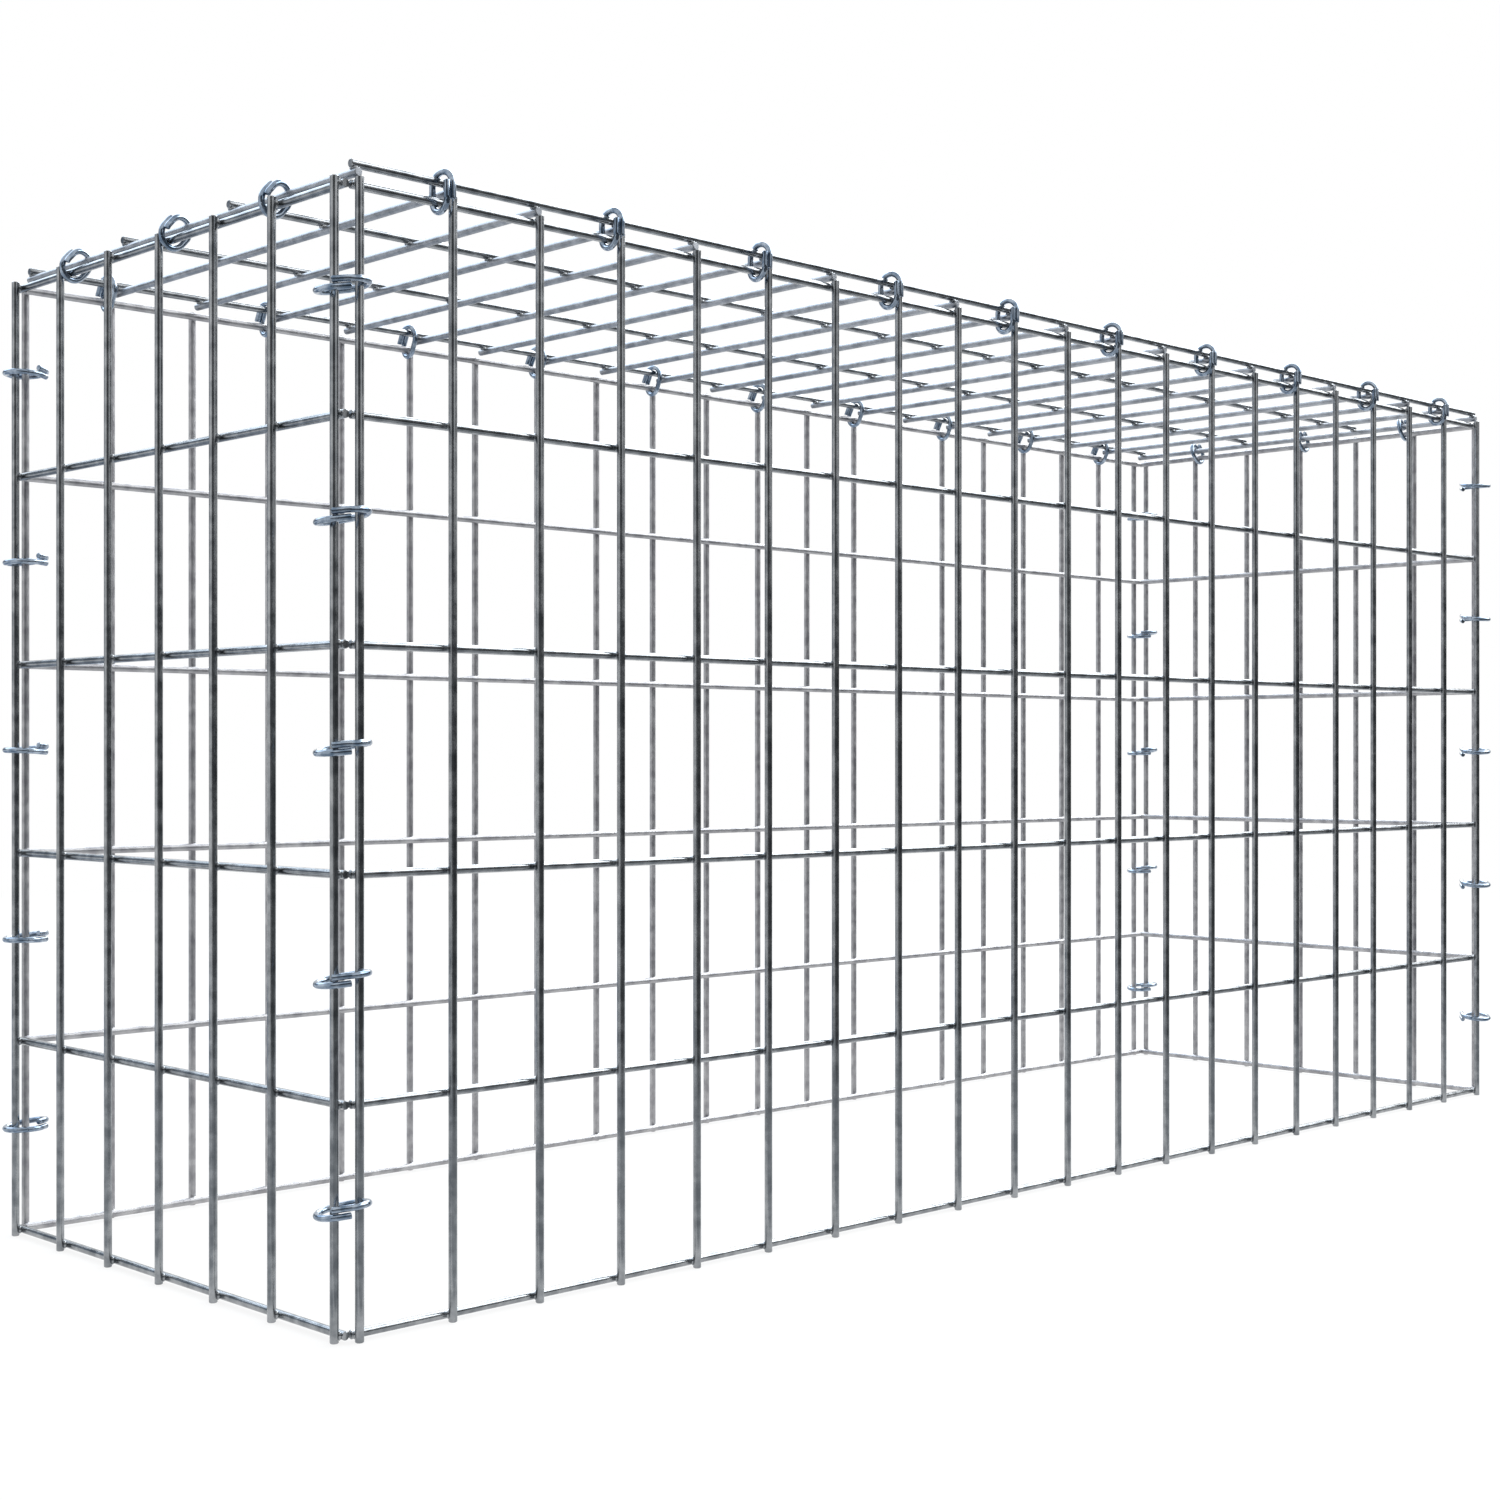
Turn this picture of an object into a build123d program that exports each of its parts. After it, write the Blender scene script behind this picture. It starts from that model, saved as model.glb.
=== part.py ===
from build123d import *

import math
import os

# A gabion basket: five flat panels of welded steel mesh, tied edge to edge with closed rings.
# It has two long sides, two ends and a lid, and it stands open at the bottom on its cut wires.
# +X runs along the length, the long side at -Y is the front, and the wire ends stand on Z = 0.

# Mesh
wire_diameter = 4.0
cell_width = 50.0
cell_height = 100.0
cells_long = 20
cells_deep = 6
cells_high = 5
lid_rows = 4

# Wire ends that run on past the last crossing, measured from the axis of the crossed wire
upright_overhang = 3.0
long_row_overhang = 2.2
end_row_overhang = 3.0
lid_column_overhang = 3.4

# Clearances between the panels
corner_gap = 0.5
side_gap = 1.4
lid_seat_gap = 0.2
lid_forward = 2.4

# Tie rings
ring_wire = 3.0
edge_ring_inner_width = 9.8
corner_ring_inner_width = 16.0
front_ring_slack = 2.0
back_ring_slack = 0.8
end_ring_slack = 2.0
corner_ring_slack = 5.2
ring_seat_gap = 0.3
ring_side_gap = 0.3
ring_strand_gap = 0.3
ring_lap = 8.0
edge_ring_arc_sides = 4
corner_ring_arc_sides = 6

# Where the rings sit
corner_rings = cells_high
corner_ring_lift = 5.2
long_edge_ring_every = 2
short_edge_ring_sides = (1, -1, -1)
front_ring_gap = 1.0
front_ring_shift = 2.0
front_ring_beside = 4.9
end_ring_gap = 1.5
end_ring_shift = 0.9

# How the rings rest at each corner (x side, y side): the side that the lap faces (1 outward,
# -1 inward), the gap inside the ring's end, the shift toward the lap, and the tilt in degrees
corner_ring_rests = {
    (-1, -1): (1, 0.7, 0.0, -4.0),
    (1, -1): (-1, 0.5, 0.0, 0.0),
    (-1, 1): (-1, 1.8, 3.4, 0.0),
    (1, 1): (-1, 0.5, 0.0, -4.0),
}

# Sizes that follow from the ones above
length = cells_long * cell_width
depth = cells_deep * cell_width
height = cells_high * cell_height
wire_radius = wire_diameter / 2
bottom_row = upright_overhang
top_row = bottom_row + height
upright_top = top_row + upright_overhang
end_plane = length / 2 + long_row_overhang + corner_gap + wire_radius + wire_diameter
side_plane = depth / 2 + end_row_overhang + side_gap + wire_radius
side_row_plane = side_plane - wire_diameter
end_row_plane = end_plane - wire_diameter
lid_column_height = upright_top + lid_seat_gap + wire_radius
lid_row_height = lid_column_height + wire_diameter
lid_row_spacing = depth / (lid_rows - 1)
back_ring_beside = wire_radius + ring_side_gap + ring_wire + ring_strand_gap


def spaced(count, pitch):
    """Places of a row of equal steps, centred on zero."""
    return [(index - (count - 1) / 2) * pitch for index in range(count)]


def wire_along(plane, wire_length):
    """A wire through the origin of a plane, square to it.

    Each wire is an octagon across its flats, so that crossed wires meet flat on flat at the weld.
    """
    section = plane * RegularPolygon(wire_radius, 8, major_radius=False, rotation=22.5)
    return extrude(section, wire_length / 2, both=True)


def mesh_panel(columns, column_pitch, column_overhang, rows, row_pitch, row_overhang):
    """A flat welded mesh around the origin: columns along Y, and rows along X on top of them."""
    column_length = (rows - 1) * row_pitch + 2 * column_overhang
    row_length = (columns - 1) * column_pitch + 2 * row_overhang
    column_wires = [
        Pos(x, 0, 0) * wire_along(Plane.XZ, column_length) for x in spaced(columns, column_pitch)
    ]
    row_wires = [
        Pos(0, y, wire_diameter) * wire_along(Plane.YZ, row_length) for y in spaced(rows, row_pitch)
    ]
    return (Part() + column_wires + row_wires).solid()


def upright_panel(columns, row_overhang, place, inward):
    """A wall of the basket: its uprights outside, and its rows on the side that faces inward."""
    mesh = mesh_panel(
        columns, cell_width, upright_overhang, cells_high + 1, cell_height, row_overhang
    )
    across = inward.cross(Vector(0, 0, -1))
    middle = Vector(place.X, place.Y, bottom_row + height / 2)
    return Plane(origin=middle, x_dir=across, z_dir=inward).location * mesh


def lid():
    """The lid: its short wires rest on the uprights, with the long wires welded on top."""
    mesh = mesh_panel(
        cells_long + 1,
        cell_width,
        lid_column_overhang,
        lid_rows,
        lid_row_spacing,
        long_row_overhang,
    )
    return Pos(0, -lid_forward, lid_column_height) * mesh


def ring_corners(inner_length, inner_width, arc_sides):
    """The ring's centre line seen square on: corners from one end of the lap to the other."""
    reach = ring_wire / math.sqrt(3)
    radius = inner_width / 2 + reach
    half_straight = (inner_length - inner_width) / 2
    step = math.pi / arc_sides
    corner_radius = radius / math.cos(step / 2)
    corners = [(-ring_lap / 2, -radius)]
    for end in (1, -1):
        for side in range(arc_sides):
            angle = (side + 0.5) * step - math.pi / 2
            corners.append(
                (
                    end * (half_straight + corner_radius * math.cos(angle)),
                    end * corner_radius * math.sin(angle),
                )
            )
    corners.append((ring_lap / 2, -radius))
    return corners


def ring_path(inner_length, inner_width, arc_sides, hand):
    """The centre line with its rise: one strand's width and gap in each full turn."""
    corners = ring_corners(inner_length, inner_width, arc_sides)
    run = [0.0]
    for before, after in zip(corners, corners[1:]):
        run.append(run[-1] + math.dist(before, after))
    turn = run[-1] - ring_lap
    pitch = (ring_wire + ring_strand_gap) / turn
    return [
        Vector(x, y, hand * pitch * (distance - run[-1] / 2))
        for (x, y), distance in zip(corners, run)
    ]


def closed_ring(inner_length, inner_width, arc_sides, hand):
    """A round-ended ring of bent wire whose two ends lie side by side along its -Y side."""
    points = ring_path(inner_length, inner_width, arc_sides, hand)
    start = Plane(origin=points[0], x_dir=(0, 0, 1), z_dir=points[1] - points[0])
    section = start * RegularPolygon(ring_wire / 2, 6, major_radius=False, rotation=30)
    return sweep(section, path=Polyline(*points), transition=Transition.RIGHT).solid()


def ring_depth(inner_length, inner_width, arc_sides):
    """How much of the edge a ring takes up, over both strands of its lap."""
    points = ring_path(inner_length, inner_width, arc_sides, 1)
    return points[-1].Z - points[0].Z + ring_wire


def held_length(first, second, slack):
    """Inner length of a ring that is closed around two wires."""
    return (first - second).length + wire_diameter + slack


def ring_around(ring, inner_length, first, second, along, lap_side, seat_gap, shift):
    """Places a ring around two wires: a gap inside its end at the first, and a shift to its lap."""
    long_axis = (first - second).normalized()
    axis = along if along.cross(long_axis).dot(lap_side) < 0 else along * -1
    pull = inner_length / 2 - wire_radius - seat_gap
    centre = first - long_axis * pull - axis.cross(long_axis) * shift
    return Plane(origin=centre, x_dir=long_axis, z_dir=axis).location * ring


def corner_ring_set(x_sign, y_sign):
    """The rings up one corner, around the end uprights of a side panel and an end panel."""
    lap_facing, seat_gap, shift, tilt = corner_ring_rests[(x_sign, y_sign)]
    first = Vector(x_sign * length / 2, y_sign * side_plane, 0)
    second = Vector(x_sign * end_plane, y_sign * depth / 2, 0)
    inner_length = held_length(first, second, corner_ring_slack)
    level_ring = closed_ring(inner_length, corner_ring_inner_width, corner_ring_arc_sides, -1)
    ring = Rot(0, tilt, 0) * level_ring
    lap_side = Vector(x_sign, y_sign, 0) * lap_facing
    rings = []
    for cell in range(corner_rings):
        lift = Vector(0, 0, bottom_row + (cell + 0.5) * cell_height + corner_ring_lift)
        rings.append(
            ring_around(
                ring,
                inner_length,
                first + lift,
                second + lift,
                Vector(0, 0, 1),
                lap_side,
                seat_gap,
                shift,
            )
        )
    return rings


def long_edge_ring_set(y_sign, slack, beside, seat_gap, shift):
    """The rings along the front or back of the lid, each beside every second upright."""
    first = Vector(0, y_sign * depth / 2 - lid_forward, lid_row_height)
    second = Vector(0, y_sign * side_row_plane, top_row)
    inner_length = held_length(first, second, slack)
    ring = closed_ring(inner_length, edge_ring_inner_width, edge_ring_arc_sides, 1)
    uprights = spaced(cells_long + 1, cell_width)[1::long_edge_ring_every]
    return [
        ring_around(
            ring,
            inner_length,
            first + Vector(x - beside, 0, 0),
            second + Vector(x - beside, 0, 0),
            Vector(1, 0, 0),
            Vector(0, y_sign, 0),
            seat_gap,
            shift,
        )
        for x in uprights
    ]


def short_edge_ring_set(x_sign):
    """The rings across one end of the lid, each beside an upright of the end panel."""
    first = Vector(x_sign * length / 2, 0, lid_column_height)
    second = Vector(x_sign * end_row_plane, 0, top_row)
    inner_length = held_length(first, second, end_ring_slack)
    ring = closed_ring(inner_length, edge_ring_inner_width, edge_ring_arc_sides, 1)
    beside = wire_radius + ring_side_gap + 0.5 * ring_depth(
        inner_length, edge_ring_inner_width, edge_ring_arc_sides
    )
    uprights = spaced(cells_deep + 1, cell_width)[1::2]
    return [
        ring_around(
            ring,
            inner_length,
            first + Vector(0, y + side * beside, 0),
            second + Vector(0, y + side * beside, 0),
            Vector(0, 1, 0),
            Vector(x_sign, 0, 1),
            end_ring_gap,
            end_ring_shift,
        )
        for y, side in zip(uprights, short_edge_ring_sides)
    ]


nodes = {
    "front_panel": upright_panel(
        cells_long + 1, long_row_overhang, Vector(0, -side_plane, 0), Vector(0, 1, 0)
    ),
    "back_panel": upright_panel(
        cells_long + 1, long_row_overhang, Vector(0, side_plane, 0), Vector(0, -1, 0)
    ),
    "left_end_panel": upright_panel(
        cells_deep + 1, end_row_overhang, Vector(-end_plane, 0, 0), Vector(1, 0, 0)
    ),
    "right_end_panel": upright_panel(
        cells_deep + 1, end_row_overhang, Vector(end_plane, 0, 0), Vector(-1, 0, 0)
    ),
    "lid_panel": lid(),
}

ring_sets = {
    "front_left_corner_ring": corner_ring_set(-1, -1),
    "front_right_corner_ring": corner_ring_set(1, -1),
    "back_left_corner_ring": corner_ring_set(-1, 1),
    "back_right_corner_ring": corner_ring_set(1, 1),
    "front_lid_ring": long_edge_ring_set(
        -1, front_ring_slack, front_ring_beside, front_ring_gap, front_ring_shift
    ),
    "back_lid_ring": long_edge_ring_set(
        1, back_ring_slack, back_ring_beside, ring_seat_gap, 0.0
    ),
    "left_lid_ring": short_edge_ring_set(-1),
    "right_lid_ring": short_edge_ring_set(1),
}
for set_name, rings in ring_sets.items():
    for number, ring in enumerate(rings, 1):
        nodes[f"{set_name}_{number}"] = ring

os.makedirs("parts", exist_ok=True)
for name, solid in nodes.items():
    export_step(solid, f"parts/{name}.step")
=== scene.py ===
# %% [markdown]
# # A gabion basket of welded wire mesh
# A gabion is a wire basket that is set in place empty and then filled with stone. This one is five
# flat panels of galvanised wire mesh: two long sides, two ends and a lid. The panels are only tied
# together, with closed wire rings along every edge.
#
# The lesson builds the looks of the basket round a frame made in CAD. The frame gives each panel
# and each ring its place and size. Here every eight-sided bar of the frame becomes a round wire
# with cut ends, every crossing gets its weld, and every ring becomes a bent round wire.

# %% Load the frame
import math

import bpy
from mathutils import Matrix, Vector


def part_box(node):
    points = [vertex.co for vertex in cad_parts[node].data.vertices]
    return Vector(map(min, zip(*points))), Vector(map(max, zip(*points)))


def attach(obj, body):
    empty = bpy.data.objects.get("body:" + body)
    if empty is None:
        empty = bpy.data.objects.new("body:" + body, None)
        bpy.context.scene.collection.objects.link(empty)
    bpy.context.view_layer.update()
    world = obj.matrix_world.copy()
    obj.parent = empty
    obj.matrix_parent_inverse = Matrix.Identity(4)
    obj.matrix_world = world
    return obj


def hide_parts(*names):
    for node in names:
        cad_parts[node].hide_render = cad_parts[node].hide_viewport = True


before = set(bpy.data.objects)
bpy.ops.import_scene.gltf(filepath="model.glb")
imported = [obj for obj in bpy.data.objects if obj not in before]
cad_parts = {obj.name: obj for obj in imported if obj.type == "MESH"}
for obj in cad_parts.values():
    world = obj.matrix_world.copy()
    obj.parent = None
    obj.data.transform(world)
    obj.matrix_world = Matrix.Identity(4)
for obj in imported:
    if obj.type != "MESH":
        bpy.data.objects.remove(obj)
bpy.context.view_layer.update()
print("CAD nodes:", len(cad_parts))

# %% [markdown]
# ## Units and the mesh
# Blender works in metres and the wire trade works in millimetres, so one short name turns one into
# the other. The mesh itself needs only a few numbers: the wire is 4 mm thick and the cells are 50
# by 100 mm. How many cells a panel has follows from its size in the frame.

# %% Sizes of the mesh
MM = 0.001
WIRE_RADIUS = 2.0 * MM
CELL_WIDTH = 50.0 * MM
CELL_HEIGHT = 100.0 * MM
X_AXIS = Vector((1, 0, 0))
Y_AXIS = Vector((0, 1, 0))
Z_AXIS = Vector((0, 0, 1))


def middle(node):
    """The centre of a CAD node's box."""
    low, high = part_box(node)
    return (low + high) / 2


def extent(node):
    """The size of a CAD node's box."""
    low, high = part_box(node)
    return high - low


def whole_cells(length, cell):
    """How many whole cells a length of mesh has. The wire ends past them don't count."""
    return int(length / cell)


def in_mm(values):
    """Lengths in millimetres, rounded for reading."""
    return [round(value / MM, 1) for value in values]


print("front panel in mm:", in_mm(extent("front_panel")))

# %% [markdown]
# ## The camera
# The photograph looks at the near left corner of the basket from half its height, so its horizon
# lies across the middle of the picture and the uprights stay parallel. The lens and the place of
# the camera come from fitting a pinhole camera to the crossings of the mesh, whose cells have a
# known size.

# %% Camera
CAMERA_PLACE = Vector((-1.0460, -0.9577, 0.2542))
CAMERA_HEADING = math.radians(44.33)
CAMERA_LENS = 52.82
CAMERA_RISE = 0.0044

bpy.ops.object.select_all(action="DESELECT")
bpy.ops.object.camera_add(location=CAMERA_PLACE, rotation=(math.pi / 2, 0, -CAMERA_HEADING))
camera = bpy.context.object
camera.name = "camera"
camera.data.lens = CAMERA_LENS
camera.data.shift_y = CAMERA_RISE
bpy.context.scene.camera = camera
bpy.context.scene.view_settings.view_transform = "Standard"
print("camera lens in mm:", round(camera.data.lens, 2))

# %% [markdown]
# ## Colour and node helpers
# Colours are written as the hex values that a colour picker shows. Those are sRGB values, and a
# shader works with linear light, so one function turns one into the other. A second function adds
# one node with its settings and its links, which keeps each material readable from top to bottom.

# %% Helpers for colours and nodes
def linear(hex_colour):
    """A linear colour from an sRGB hex value such as "8a8f92"."""
    channels = [int(hex_colour[index : index + 2], 16) / 255 for index in (0, 2, 4)]
    light = [c / 12.92 if c <= 0.04045 else ((c + 0.055) / 1.055) ** 2.4 for c in channels]
    return (*light, 1.0)


def add_node(tree, kind, settings=None, inputs=None):
    """Adds a node. Settings are its properties. Inputs are values, or sockets to link from."""
    node = tree.nodes.new(kind)
    for key, value in (settings or {}).items():
        setattr(node, key, value)
    for key, value in (inputs or {}).items():
        if isinstance(value, bpy.types.NodeSocket):
            tree.links.new(value, node.inputs[key])
        else:
            node.inputs[key].default_value = value
    return node


print("mid grey in linear light:", round(linear("808080")[0], 3))

# %% [markdown]
# ## Galvanised wire
# All of the basket is hot-dip galvanised low-carbon steel: drawn wire that was run through molten
# zinc. Zinc is a metal, so it is fully metallic, but it dulls within weeks to a satin grey. Wiping
# the hot wire leaves soft patches some millimetres long, a little lighter or darker and a little
# shinier or duller than their surroundings, and a fine grain. The eye reads this as a grey that is
# never quite even.
#
# Two noise patterns make that. The larger one drives the tone and the roughness of the patches,
# and the smaller one a bump a few hundredths of a millimetre high. Both are sized in real
# millimetres on Object coordinates, so they run on evenly from wire to wire.

# %% Material of galvanised wire
PATCH_TONE_RANGE = (0.35, 0.65)
PATCH_SHINE_RANGE = (0.3, 0.7)
SHINE_SPREAD = 0.06
GRAIN_STRENGTH = 0.15
GRAIN_HEIGHT = 0.05 * MM


def galvanised_wire(name, light, dark, patch_mm, grain_mm, roughness):
    """Zinc between two tones, with patches and grain of these sizes, at this roughness."""
    material = bpy.data.materials.new(name)
    material.use_nodes = True
    tree = material.node_tree
    shader = tree.nodes["Principled BSDF"]
    place = add_node(tree, "ShaderNodeTexCoord")
    patches = add_node(
        tree,
        "ShaderNodeTexNoise",
        inputs={"Vector": place.outputs["Object"], "Scale": 1000 / patch_mm, "Detail": 3.0},
    )
    grain = add_node(
        tree,
        "ShaderNodeTexNoise",
        inputs={"Vector": place.outputs["Object"], "Scale": 1000 / grain_mm, "Detail": 2.0},
    )
    tone = add_node(tree, "ShaderNodeValToRGB", inputs={"Fac": patches.outputs["Fac"]})
    for stop, position, colour in zip(tone.color_ramp.elements, PATCH_TONE_RANGE, (dark, light)):
        stop.position = position
        stop.color = linear(colour)
    shine = add_node(
        tree,
        "ShaderNodeMapRange",
        inputs={
            "Value": patches.outputs["Fac"],
            "From Min": PATCH_SHINE_RANGE[0],
            "From Max": PATCH_SHINE_RANGE[1],
            "To Min": roughness - SHINE_SPREAD,
            "To Max": roughness + SHINE_SPREAD,
        },
    )
    relief = add_node(
        tree,
        "ShaderNodeBump",
        inputs={
            "Height": grain.outputs["Fac"],
            "Strength": GRAIN_STRENGTH,
            "Distance": GRAIN_HEIGHT,
        },
    )
    tree.links.new(tone.outputs["Color"], shader.inputs["Base Color"])
    tree.links.new(shine.outputs["Result"], shader.inputs["Roughness"])
    tree.links.new(relief.outputs["Normal"], shader.inputs["Normal"])
    shader.inputs["Metallic"].default_value = 1.0
    return material


print("patches and grain are sized in mm")

# %% [markdown]
# ## Four finishes
# The photograph doesn't show all of the wire alike. The lid's short wires look softer than the
# near walls, the far walls flatter and paler, and the rings brighter and bluer. Zinc differs like
# that with its age and its making, but light does it too, and one picture can't tell which. Here
# each is the same material with its own tones and roughness, matched to it. Their softness,
# flatness and glints come from the roughness. The paler greys of the lid's short wires and the far
# walls are painted light, and the blue of the rings and the slight blue of the lid's short wires
# are a painted reflection of blue sky.

# %% Finishes of the wire
# Smooth drawn wire: crisp light and dark lines along it.
mesh_zinc = galvanised_wire("galvanised_drawn_wire", "a2a5a8", "7c8084", 7.0, 0.6, 0.18)
# Satin zinc, for the lid's short wires: soft lines from its roughness, and a paler, slightly bluer
# grey that is painted light from a blue sky.
satin_zinc_painted_light = galvanised_wire("galvanised_wire_satin_painted_light", "b4b8be", "8e9298", 7.0, 0.6, 0.40)
# Dull zinc, for the far walls: a plain, even grey from its roughness, paler than the near walls as
# painted light.
dull_zinc_painted_light = galvanised_wire("galvanised_wire_dull_painted_light", "bcbcbe", "96969a", 7.0, 0.6, 0.45)
# Bright zinc, for the rings: small glints from its low roughness, and a cool blue tint that is a
# painted reflection of blue sky.
ring_zinc_painted_sky = galvanised_wire("ring_wire_painted_sky_blue", "a6b2c0", "687a8e", 4.0, 0.5, 0.12)
print("finishes:", [zinc.name for zinc in (mesh_zinc, satin_zinc_painted_light, dull_zinc_painted_light, ring_zinc_painted_sky)])

# %% [markdown]
# ## One straight wire, and its copies
# Every wire of the mesh is the same thing: a round bar, cut off square by a shear. A cylinder
# gives the bar. A bevel that only takes edges sharper than 60 degrees breaks the two cut rims. It
# has one segment, so that the rim stays a sharp step to smooth shading: a softer rim would bend the
# normals of the long sides over the wire's whole length, and its reflections with them. An array
# then copies the finished wire across the panel, because in real mesh the wires are all alike and
# lie at one even pitch.

# %% Helpers that place, copy and trim
CUT_ANGLE = math.radians(60)


def apply_place(piece):
    """Moves an object's place, turn and scale into its mesh."""
    bpy.ops.object.select_all(action="DESELECT")
    piece.select_set(True)
    bpy.context.view_layer.objects.active = piece
    bpy.ops.object.transform_apply(location=True, rotation=True, scale=True)


def copies(piece, count, step):
    """Copies a piece in a row with an array, and applies it."""
    bpy.context.view_layer.objects.active = piece
    row = piece.modifiers.new("copies", "ARRAY")
    row.count = count
    row.use_relative_offset = False
    row.use_constant_offset = True
    row.constant_offset_displace = step
    bpy.ops.object.modifier_apply(modifier=row.name)


def break_rims(piece, width):
    """Breaks the sharp rims round a wire's cut ends."""
    bpy.context.view_layer.objects.active = piece
    rims = piece.modifiers.new("cut rims", "BEVEL")
    rims.width = width
    rims.segments = 1
    rims.limit_method = "ANGLE"
    rims.angle_limit = CUT_ANGLE
    bpy.ops.object.modifier_apply(modifier=rims.name)


print("rims sharper than", round(math.degrees(CUT_ANGLE)), "degrees get broken")

# %% A row of wires
WIRE_SIDES = 20
WIRE_RIM = 0.35 * MM


def cut_wires(length, place, way, count, step):
    """A row of straight round wires that run one way. Place is the centre of the first one."""
    bpy.ops.object.select_all(action="DESELECT")
    bpy.ops.mesh.primitive_cylinder_add(
        vertices=WIRE_SIDES,
        radius=WIRE_RADIUS,
        depth=length,
        end_fill_type="NGON",
        location=place,
        rotation=Z_AXIS.rotation_difference(way).to_euler(),
    )
    wire = bpy.context.object
    apply_place(wire)
    break_rims(wire, WIRE_RIM)
    copies(wire, count, step)
    return wire


print("sides of a wire:", WIRE_SIDES)

# %% [markdown]
# ## The welds
# Where two wires cross, the welding machine presses them together and melts the spot between them.
# The metal that is squeezed out fills the narrow gap round the touching point. A flattened ball,
# centred between the two wires, gives that fillet, and two arrays set one at every crossing. It
# repeats hundreds of times, so it has only a few dozen faces.

# %% Helper that makes welds
WELD_REACH = 2.2 * MM
WELD_DEPTH = 1.5 * MM
WELD_SEGMENTS = 10
WELD_RINGS = 6


def welds(place, through, first_count, first_step, second_count, second_step):
    """A field of small welds, flat through the panel. Place is the centre of the first one."""
    bpy.ops.object.select_all(action="DESELECT")
    bpy.ops.mesh.primitive_uv_sphere_add(
        segments=WELD_SEGMENTS, ring_count=WELD_RINGS, radius=WELD_REACH, location=place
    )
    weld = bpy.context.object
    flatness = 1 - WELD_DEPTH / WELD_REACH
    bpy.ops.transform.resize(
        value=[1 - flatness * abs(part) for part in through], center_override=place
    )
    apply_place(weld)
    copies(weld, first_count, first_step)
    copies(weld, second_count, second_step)
    return weld


print("weld in mm:", in_mm((WELD_REACH, WELD_DEPTH)))

# %% [markdown]
# ## Finishing a piece
# A finished piece has its place in its mesh, sits at the origin like the CAD nodes, is shaded
# smooth except at its cut ends, and takes over from the CAD node that it stands for.

# %% Helpers that finish pieces
SMOOTH_ANGLE = math.radians(35)


def joined(parts, name):
    """Joins the wires and welds of one panel, which the works weld into one piece."""
    bpy.ops.object.select_all(action="DESELECT")
    for part in parts:
        part.select_set(True)
    bpy.context.view_layer.objects.active = parts[0]
    bpy.ops.object.join()
    piece = bpy.context.object
    piece.name = name
    return piece


def hand_over(piece, node):
    """Lets a piece that has its finish stand for a CAD node."""
    apply_place(piece)
    bpy.ops.object.shade_smooth_by_angle(angle=SMOOTH_ANGLE)
    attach(piece, "root")
    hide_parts(node)


print("smooth up to", round(math.degrees(SMOOTH_ANGLE)), "degrees")

# %% [markdown]
# ## A welded panel
# A panel has wires in two layers that touch: columns on one side, 50 mm apart, and rows across them
# on the other, 100 mm apart. The middle of the node's box lies between the two layers, so each
# layer's axes lie one wire radius from it. The box also says how long the wires are. They run a few
# millimetres past the last weld, as they do where a mesh is sheared from a longer sheet.

# %% Helper that makes a panel
def mesh_panel(node, column_side, column_way, row_way, column_zinc, row_zinc):
    """A panel whose columns lie on one side, with the ways that its columns and rows run."""
    column_length = extent(node).dot(column_way)
    row_length = extent(node).dot(row_way)
    across = whole_cells(row_length, CELL_WIDTH)
    up = whole_cells(column_length, CELL_HEIGHT)
    column_step = row_way * CELL_WIDTH
    row_step = column_way * CELL_HEIGHT
    to_first_column = column_step * -across / 2
    to_first_row = row_step * -up / 2
    to_layer = column_side * WIRE_RADIUS
    columns = cut_wires(
        column_length,
        middle(node) + to_first_column + to_layer,
        column_way,
        across + 1,
        column_step,
    )
    rows = cut_wires(
        row_length, middle(node) + to_first_row - to_layer, row_way, up + 1, row_step
    )
    first_weld = middle(node) + to_first_column + to_first_row
    beads = welds(first_weld, column_side, across + 1, column_step, up + 1, row_step)
    columns.data.materials.append(column_zinc)
    rows.data.materials.append(row_zinc)
    beads.data.materials.append(row_zinc)
    panel = joined([columns, rows, beads], node + "_mesh")
    hand_over(panel, node)
    print(node, "has", across, "by", up, "cells and", len(panel.data.polygons), "faces")


print("cells in mm:", in_mm((CELL_WIDTH, CELL_HEIGHT)))

# %% [markdown]
# ## The four walls
# A wall has its columns, the uprights, on the outside and its rows on the inside. The two walls
# near the camera have the smooth finish and the two far ones the dull one, whose paler grey is
# painted light.

# %% Walls
mesh_panel("front_panel", -Y_AXIS, Z_AXIS, X_AXIS, mesh_zinc, mesh_zinc)
mesh_panel("back_panel", Y_AXIS, Z_AXIS, X_AXIS, dull_zinc_painted_light, dull_zinc_painted_light)
mesh_panel("left_end_panel", -X_AXIS, Z_AXIS, Y_AXIS, mesh_zinc, mesh_zinc)
mesh_panel("right_end_panel", X_AXIS, Z_AXIS, Y_AXIS, dull_zinc_painted_light, dull_zinc_painted_light)

# %% [markdown]
# ## The lid
# The lid lies with its short wires down, so that they rest on the cut tops of the uprights, and
# its four long wires cross on top of them. It is the same mesh, laid flat and a few millimetres
# forward of the walls. Its short wires have the satin finish, whose paler, slightly bluer grey is
# painted light from a blue sky.

# %% Lid
mesh_panel("lid_panel", -Z_AXIS, Y_AXIS, X_AXIS, satin_zinc_painted_light, mesh_zinc)

# %% [markdown]
# ## One turn of ring wire
# The rings start as C-shaped clips of 3 mm wire. Pliers close them round two wires at once, until
# the ends run past each other side by side. A circle stands for the wire's section, and a Screw
# modifier carries it once round and a little further, rising by one strand and a hair's gap as it
# goes.

# %% Round ring by screw
RING_WIRE_RADIUS = 1.5 * MM
RING_STRAND_GAP = 0.3 * MM
RING_SECTION_SIDES = 14
RING_STEPS = 61


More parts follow.
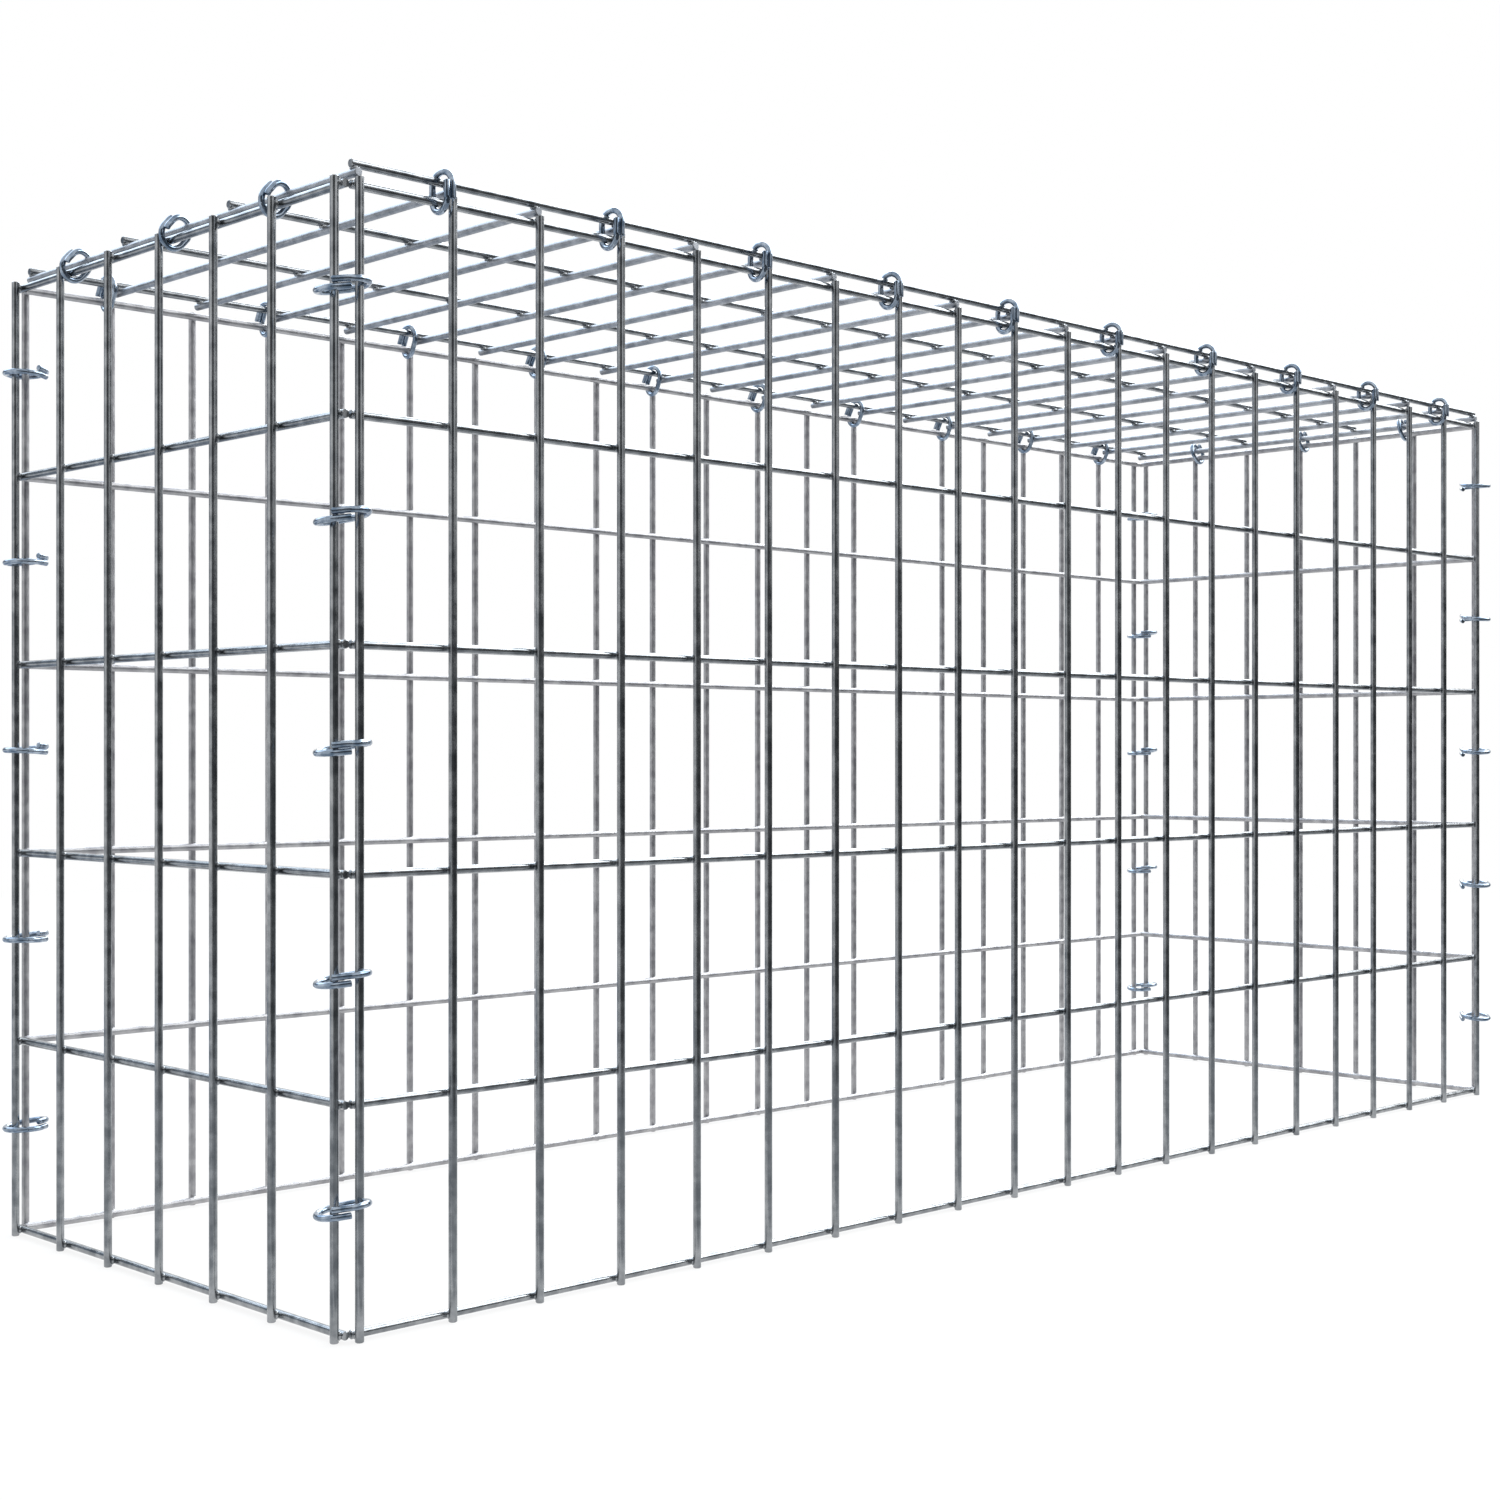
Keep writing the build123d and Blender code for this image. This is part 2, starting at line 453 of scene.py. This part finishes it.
def round_ring(radius, over, hand):
    """A round ring of wire about Z that runs on by the angle over at both ends of its turn."""
    turn = 2 * math.pi + 2 * over
    rise = hand * (2 * RING_WIRE_RADIUS + RING_STRAND_GAP) * turn / (2 * math.pi)
    bpy.ops.object.select_all(action="DESELECT")
    bpy.ops.mesh.primitive_circle_add(
        vertices=RING_SECTION_SIDES,
        radius=RING_WIRE_RADIUS,
        location=(radius, 0, 0),
        rotation=(math.pi / 2, 0, 0),
    )
    ring = bpy.context.object
    apply_place(ring)
    bend = ring.modifiers.new("bend", "SCREW")
    bend.axis = "Z"
    bend.angle = turn
    bend.screw_offset = rise
    bend.steps = RING_STEPS
    bend.render_steps = RING_STEPS
    bpy.ops.object.modifier_apply(modifier=bend.name)
    ring.rotation_euler = (0, 0, -math.pi / 2 - over)
    ring.location = (0, 0, -rise / 2)
    apply_place(ring)
    return ring


print("ring wire in mm:", in_mm((2 * RING_WIRE_RADIUS,)))

# %% [markdown]
# ## A closed ring
# Pulling the two halves apart turns the round ring into one with straight sides, as long as the
# two wires that it holds need. An odd number of steps keeps every section clear of the line that
# the halves part at. The two open ends then get their faces, and their rims are broken like those
# of the mesh wires.

# %% Ring with straight sides
RING_LAP = 8.0 * MM
RING_RIM = 0.3 * MM


def select_points(piece, wanted):
    """Opens a piece for editing with only the wanted points selected."""
    bpy.ops.object.mode_set(mode="EDIT")
    bpy.ops.mesh.select_all(action="DESELECT")
    bpy.ops.object.mode_set(mode="OBJECT")
    for vertex in piece.data.vertices:
        vertex.select = wanted(vertex.co)
    bpy.ops.object.mode_set(mode="EDIT")


def bent_ring(inner_length, inner_width, hand):
    """A closed ring: long axis on X, its lap on the -Y side, and its rise along Z."""
    radius = inner_width / 2 + RING_WIRE_RADIUS
    half_straight = (inner_length - inner_width) / 2
    over = math.asin(max(0.0, (RING_LAP / 2 - half_straight) / radius))
    ring = round_ring(radius, over, hand)
    for side in (1, -1):
        select_points(ring, lambda point: point.x * side > 0)
        bpy.ops.transform.translate(value=(side * half_straight, 0, 0))
        bpy.ops.object.mode_set(mode="OBJECT")
    bpy.ops.object.mode_set(mode="EDIT")
    bpy.ops.mesh.select_all(action="SELECT")
    bpy.ops.mesh.fill_holes(sides=0)
    bpy.ops.mesh.select_all(action="SELECT")
    bpy.ops.mesh.normals_make_consistent(inside=False)
    bpy.ops.object.mode_set(mode="OBJECT")
    break_rims(ring, RING_RIM)
    return ring


print("the ends lap by", in_mm((RING_LAP,)), "mm")

# %% [markdown]
# ## Placing the rings
# Each ring is a copy with its own mesh. Its centre is the middle of its CAD node's box. Its long
# axis runs from one held wire to the other, its flat side lies across the edge, and its lap faces
# the side where the pliers reached it. Real rings aren't closed quite alike, so each copy leans
# along its length and rolls about it. A row's lean and roll each have a value for the whole row,
# taken from how its rings show in the photograph, and a share of a small spread from ring to ring,
# which starts again after five rings.

# %% Helpers that place rings
RING_SPREAD = (1.5, -1.0, 0.5, 2.0, -1.5)


def placed_ring(pattern, node, long_axis, edge, lap_side, lean, roll):
    """Copies a ring to a CAD node's place and hands it over. Lean and roll are in degrees."""
    long_axis = long_axis.normalized()
    axis = edge if edge.cross(long_axis).dot(lap_side) < 0 else -edge
    side = axis.cross(long_axis)
    turn = Matrix((long_axis, side, axis)).transposed().to_4x4()
    leaning = Matrix.Rotation(math.radians(lean), 4, "Y")
    rolling = Matrix.Rotation(math.radians(roll), 4, "X")
    bpy.ops.object.select_all(action="DESELECT")
    pattern.select_set(True)
    bpy.context.view_layer.objects.active = pattern
    bpy.ops.object.duplicate(linked=False)
    ring = bpy.context.object
    ring.name = node + "_wire"
    ring.matrix_world = Matrix.Translation(middle(node)) @ turn @ rolling @ leaning
    ring.data.materials.append(ring_zinc_painted_sky)
    hand_over(ring, node)


def ring_row(name, count, pattern, held, edge, lap_side, lean, roll):
    """The rings of one edge. Held runs between the wires that they hold."""
    for number in range(1, count + 1):
        spread = RING_SPREAD[number % len(RING_SPREAD)]
        placed_ring(
            pattern,
            f"{name}_{number}",
            held,
            edge,
            lap_side,
            lean[0] + lean[1] * spread,
            roll[0] + roll[1] * spread,
        )
    bpy.data.objects.remove(pattern)
    print(name, "1 to", count, "hold wires", in_mm((held.length,)), "mm apart")


print("rings differ by up to", max(RING_SPREAD), "degrees")

# %% [markdown]
# ## Rings round the lid
# Along the front and the back, a ring holds the lid's outer long wire to the wall's top row. At
# the ends, a ring holds the lid's last short wire to the end panel's top row. All are closed to
# the same inside width, which just passes over the 4 mm wires. The held wires' axes come from the
# frame: each lies one wire radius inside the face of its panel's box.

# %% Where the lid's wires and the top rows lie
WIRE = 2 * WIRE_RADIUS
half_length = whole_cells(extent("front_panel").x, CELL_WIDTH) * CELL_WIDTH / 2
half_depth = whole_cells(extent("left_end_panel").y, CELL_WIDTH) * CELL_WIDTH / 2
half_height = whole_cells(extent("front_panel").z, CELL_HEIGHT) * CELL_HEIGHT / 2
lid_middle = middle("lid_panel")
long_wire_z = lid_middle.z + WIRE_RADIUS
short_wire_z = lid_middle.z - WIRE_RADIUS
top_row_z = middle("front_panel").z + half_height
print("lid wires over the top rows:", in_mm((long_wire_z - top_row_z, short_wire_z - top_row_z)))

# %% Rings along the front and back of the lid
LID_RING_WIDTH = 9.8 * MM
LID_RING_SLACK = 2.0 * MM
BACK_RING_SLACK = 0.8 * MM
LONG_EDGE_RINGS = 10
long_edges = {"front": (-1, LID_RING_SLACK), "back": (1, BACK_RING_SLACK)}
for edge_name, (sign, slack) in long_edges.items():
    row_y = middle(edge_name + "_panel").y - sign * WIRE_RADIUS
    long_wire_y = lid_middle.y + sign * half_depth
    held = Vector((0, long_wire_y - row_y, long_wire_z - top_row_z))
    pattern = bent_ring(held.length + WIRE + slack, LID_RING_WIDTH, 1)
    name = edge_name + "_lid_ring"
    ring_row(name, LONG_EDGE_RINGS, pattern, held, X_AXIS, Y_AXIS * sign, (0, 1), (0, -1))

# %% Rings across the ends of the lid
SHORT_EDGE_RINGS = 3
END_RING_ROLL = 12.0
for edge_name, sign in {"left": -1, "right": 1}.items():
    row_x = middle(edge_name + "_end_panel").x - sign * WIRE_RADIUS
    held = Vector((sign * half_length - row_x, 0, short_wire_z - top_row_z))
    pattern = bent_ring(held.length + WIRE + LID_RING_SLACK, LID_RING_WIDTH, 1)
    name = edge_name + "_lid_ring"
    lap_side = X_AXIS * sign + Z_AXIS
    ring_row(name, SHORT_EDGE_RINGS, pattern, held, Y_AXIS, lap_side, (0, 1), (END_RING_ROLL, 0))

# %% [markdown]
# ## Rings up the corners
# At each corner the end uprights of two walls stand diagonally side by side, and a ring in every
# cell ties them. These rings are closed less tightly, so they are almost round, and they lie
# within 9 degrees of level. At one corner the laps face outward and at the others inward.

# %% Corner rings
CORNER_RING_WIDTH = 16.0 * MM
CORNER_RING_SLACK = 5.2 * MM
CORNER_RINGS = whole_cells(extent("front_panel").z, CELL_HEIGHT)
side_y = middle("back_panel").y + WIRE_RADIUS
end_x = middle("right_end_panel").x + WIRE_RADIUS
# Side on X and on Y, where the laps face (1 outward, -1 inward), lean and roll in degrees
corners = {
    "front_left": (-1, -1, 1, -8.0, 0.0),
    "front_right": (1, -1, -1, 8.0, 0.0),
    "back_left": (-1, 1, -1, 0.0, -4.0),
    "back_right": (1, 1, -1, -4.0, 0.0),
}
for corner_name, (x_sign, y_sign, lap_facing, lean, roll) in corners.items():
    held = Vector((x_sign * (half_length - end_x), y_sign * (side_y - half_depth), 0))
    pattern = bent_ring(held.length + WIRE + CORNER_RING_SLACK, CORNER_RING_WIDTH, -1)
    name = corner_name + "_corner_ring"
    lap_side = Vector((x_sign, y_sign, 0)) * lap_facing
    ring_row(name, CORNER_RINGS, pattern, held, Z_AXIS, lap_side, (lean, 0.5), (roll, 1))

# %% [markdown]
# ## Rays that see plain white
# Bright metal shows what stands round it, so the room is as much a part of its look as the
# material. The floor and the background are white to the camera, and in the reflections on the
# metal, at a strength of 1. Light Path tells those rays apart from the ones that light the object.

# %% Helper that finds the rays that see white
def white_share(tree):
    """1 for rays that see the background: from the camera, from a reflection or through glass."""
    ray = add_node(tree, "ShaderNodeLightPath")
    seen = add_node(
        tree,
        "ShaderNodeMath",
        {"operation": "MAXIMUM"},
        {0: ray.outputs["Is Camera Ray"], 1: ray.outputs["Is Glossy Ray"]},
    )
    seen_through = add_node(
        tree,
        "ShaderNodeMath",
        {"operation": "MAXIMUM"},
        {0: seen.outputs[0], 1: ray.outputs["Is Transmission Ray"]},
    )
    return seen_through.outputs[0]


print("white for camera, glossy and transmission rays")

# %% [markdown]
# ## Floor
# The floor is a plain pale matt board. A part of its own shading stays in what the camera sees, and
# with it the basket's shadow. That part fades out with the distance, so that no horizon shows.

# %% Floor
FLOOR_SIZE = 40.0
FLOOR_SHADING = 0.15
SHADED_TO = 1.2
PLAIN_FROM = 3.0

bpy.ops.object.select_all(action="DESELECT")
bpy.ops.mesh.primitive_plane_add(size=FLOOR_SIZE, location=(0, 0, 0))
floor = bpy.context.object
floor.name = "studio_floor"
floor_paint = bpy.data.materials.new("white_floor_paint")
floor_paint.use_nodes = True
floor.data.materials.append(floor_paint)
floor_tree = floor_paint.node_tree
floor_shader = floor_tree.nodes["Principled BSDF"]
floor_shader.inputs["Base Color"].default_value = linear("f0f0f0")
floor_shader.inputs["Roughness"].default_value = 0.9
floor_shader.inputs["Specular IOR Level"].default_value = 0.2
floor_place = add_node(floor_tree, "ShaderNodeTexCoord")
from_centre = add_node(
    floor_tree, "ShaderNodeVectorMath", {"operation": "LENGTH"}, {0: floor_place.outputs["Object"]}
)
plain_white = add_node(
    floor_tree,
    "ShaderNodeMapRange",
    inputs={
        "Value": from_centre.outputs["Value"],
        "From Min": SHADED_TO,
        "From Max": PLAIN_FROM,
        "To Min": 1 - FLOOR_SHADING,
        "To Max": 1.0,
    },
)
share = add_node(
    floor_tree,
    "ShaderNodeMath",
    {"operation": "MULTIPLY"},
    {0: white_share(floor_tree), 1: plain_white.outputs["Result"]},
)
glow = add_node(floor_tree, "ShaderNodeEmission", inputs={"Color": (1, 1, 1, 1), "Strength": 1.0})
blend = add_node(
    floor_tree,
    "ShaderNodeMixShader",
    inputs={0: share.outputs[0], 1: floor_shader.outputs["BSDF"], 2: glow.outputs["Emission"]},
)
floor_tree.links.new(blend.outputs[0], floor_tree.nodes["Material Output"].inputs["Surface"])
print("floor in m:", FLOOR_SIZE)

# %% [markdown]
# ## Background
# The world is white to the camera and in reflections. What it gives the object as light is less,
# because the softboxes add to it, and together they come to a plain level.

# %% Background
WORLD_LIGHT = 0.75

world = bpy.data.worlds.new("studio")
bpy.context.scene.world = world
world.use_nodes = True
background = world.node_tree.nodes["Background"]
background.inputs["Color"].default_value = (1, 1, 1, 1)
world_strength = add_node(
    world.node_tree,
    "ShaderNodeMapRange",
    inputs={"Value": white_share(world.node_tree), "To Min": WORLD_LIGHT, "To Max": 1.0},
)
world.node_tree.links.new(world_strength.outputs["Result"], background.inputs["Strength"])
print("light from the background:", WORLD_LIGHT)

# %% [markdown]
# ## Screens and cloths
# A wire in an all-white room has no shape. A photographer stands grey screens round the set, out
# of the picture, and lays cloths on the floor. In a wire the screens in front and on the right
# become the dark core and the dark right side. A blue-grey screen at the back left tints the edge
# that faces it. The dark cloth darkens the lower half of the long wires, and the pale cloths
# close to the basket keep it from going black there. They are only there for reflections: the
# camera doesn't see them, and they cast no shadow. Their places and greys are matched to the
# photograph, and they suit its camera: from behind, the wires reflect more of the white room and
# look paler.

# %% Helper that sets up a screen
def screen(name, place, tilt, heading, size, colour):
    """A screen of one colour that only reflections see. A tilt of 90 degrees stands it upright."""
    bpy.ops.object.select_all(action="DESELECT")
    bpy.ops.mesh.primitive_plane_add(size=1, location=place)
    panel = bpy.context.object
    panel.name = name
    panel.scale = (size[0], size[1], 1)
    panel.rotation_euler = (math.radians(tilt), 0, math.radians(heading))
    cloth = bpy.data.materials.new(name + "_cloth")
    cloth.use_nodes = True
    tree = cloth.node_tree
    glow = add_node(tree, "ShaderNodeEmission", inputs={"Color": linear(colour), "Strength": 1.0})
    tree.links.new(glow.outputs["Emission"], tree.nodes["Material Output"].inputs["Surface"])
    panel.data.materials.append(cloth)
    panel.visible_camera = False
    panel.visible_diffuse = False
    panel.visible_shadow = False
    print(name, size[0], "by", size[1], "m")


# %% Screens and cloths
CLOTH_LIFT = 0.5 * MM
screen("screen_behind_camera", (-2.45, -2.5, 1.0), 90, 136, (3.6, 2.0), "66686a")
screen("screen_in_front", (1.4, -3.5, 0.38), 90, 180, (6.2, 0.76), "505254")
screen("screen_on_the_right", (4.5, -1.8, 0.38), 90, 270, (3.4, 0.76), "3c3e40")
screen("screen_high_right", (2.3, -2.3, 1.25), 70, 225, (2.3, 0.9), "3c3e40")
screen("screen_back_left", (-1.3, 2.4, 0.95), 90, 28, (1.6, 1.2), "8c98a6")
screen("cloth_near", (0.65, -0.45, CLOTH_LIFT), 0, 0, (3.7, 0.48), "c0c4c8")
screen("cloth_far", (1.25, -2.1, CLOTH_LIFT), 0, 0, (6.5, 2.8), "606264")
screen("cloth_left", (-1.1, 0.06, CLOTH_LIFT), 0, 0, (1.1, 0.48), "d4d8dc")
screen("cloth_back_left", (-0.5, 0.95, CLOTH_LIFT), 0, 0, (1.8, 0.9), "b4c0d0")

# %% [markdown]
# ## Softboxes
# Two softboxes hang behind the basket. One is a bright white strip at the back right, which becomes
# the white upper edge of every wire along the length. The other is large, bluish and dimmer, at
# the back left, and becomes the pale upper half of the wires across the lid. Together with the
# world they give a plain level of light, at which a grey card renders about as it is written.

# %% Softboxes
SET_CENTRE = Vector((0.0, 0.0, 0.25))
SOFTBOX_DISTANCE = 4.5
SOFTBOX_ELEVATION = 42


def softbox(name, bearing_deg, width, height, brightness, colour):
    """A large area lamp that faces the set, as bright as the given multiple of white."""
    bearing = math.radians(bearing_deg)
    elevation = math.radians(SOFTBOX_ELEVATION)
    flat = math.cos(elevation)
    aim = Vector((flat * math.cos(bearing), flat * math.sin(bearing), math.sin(elevation)))
    bpy.ops.object.select_all(action="DESELECT")
    bpy.ops.object.light_add(type="AREA", location=SET_CENTRE + aim * SOFTBOX_DISTANCE)
    lamp = bpy.context.object
    lamp.name = name
    lamp.rotation_euler = (-aim).to_track_quat("-Z", "Y").to_euler()
    lamp.data.shape = "RECTANGLE"
    lamp.data.size = width
    lamp.data.size_y = height
    lamp.data.energy = brightness * math.pi * width * height
    lamp.data.color = colour
    lamp.visible_camera = False
    print(name, width, "by", height, "m, at", bearing_deg, "degrees")


softbox("softbox_back_right", 3, 9.0, 3.0, 4.6, (0.95, 0.98, 1.0))
softbox("softbox_back_left", 84, 6.0, 2.4, 2.2, (0.66, 0.82, 1.0))
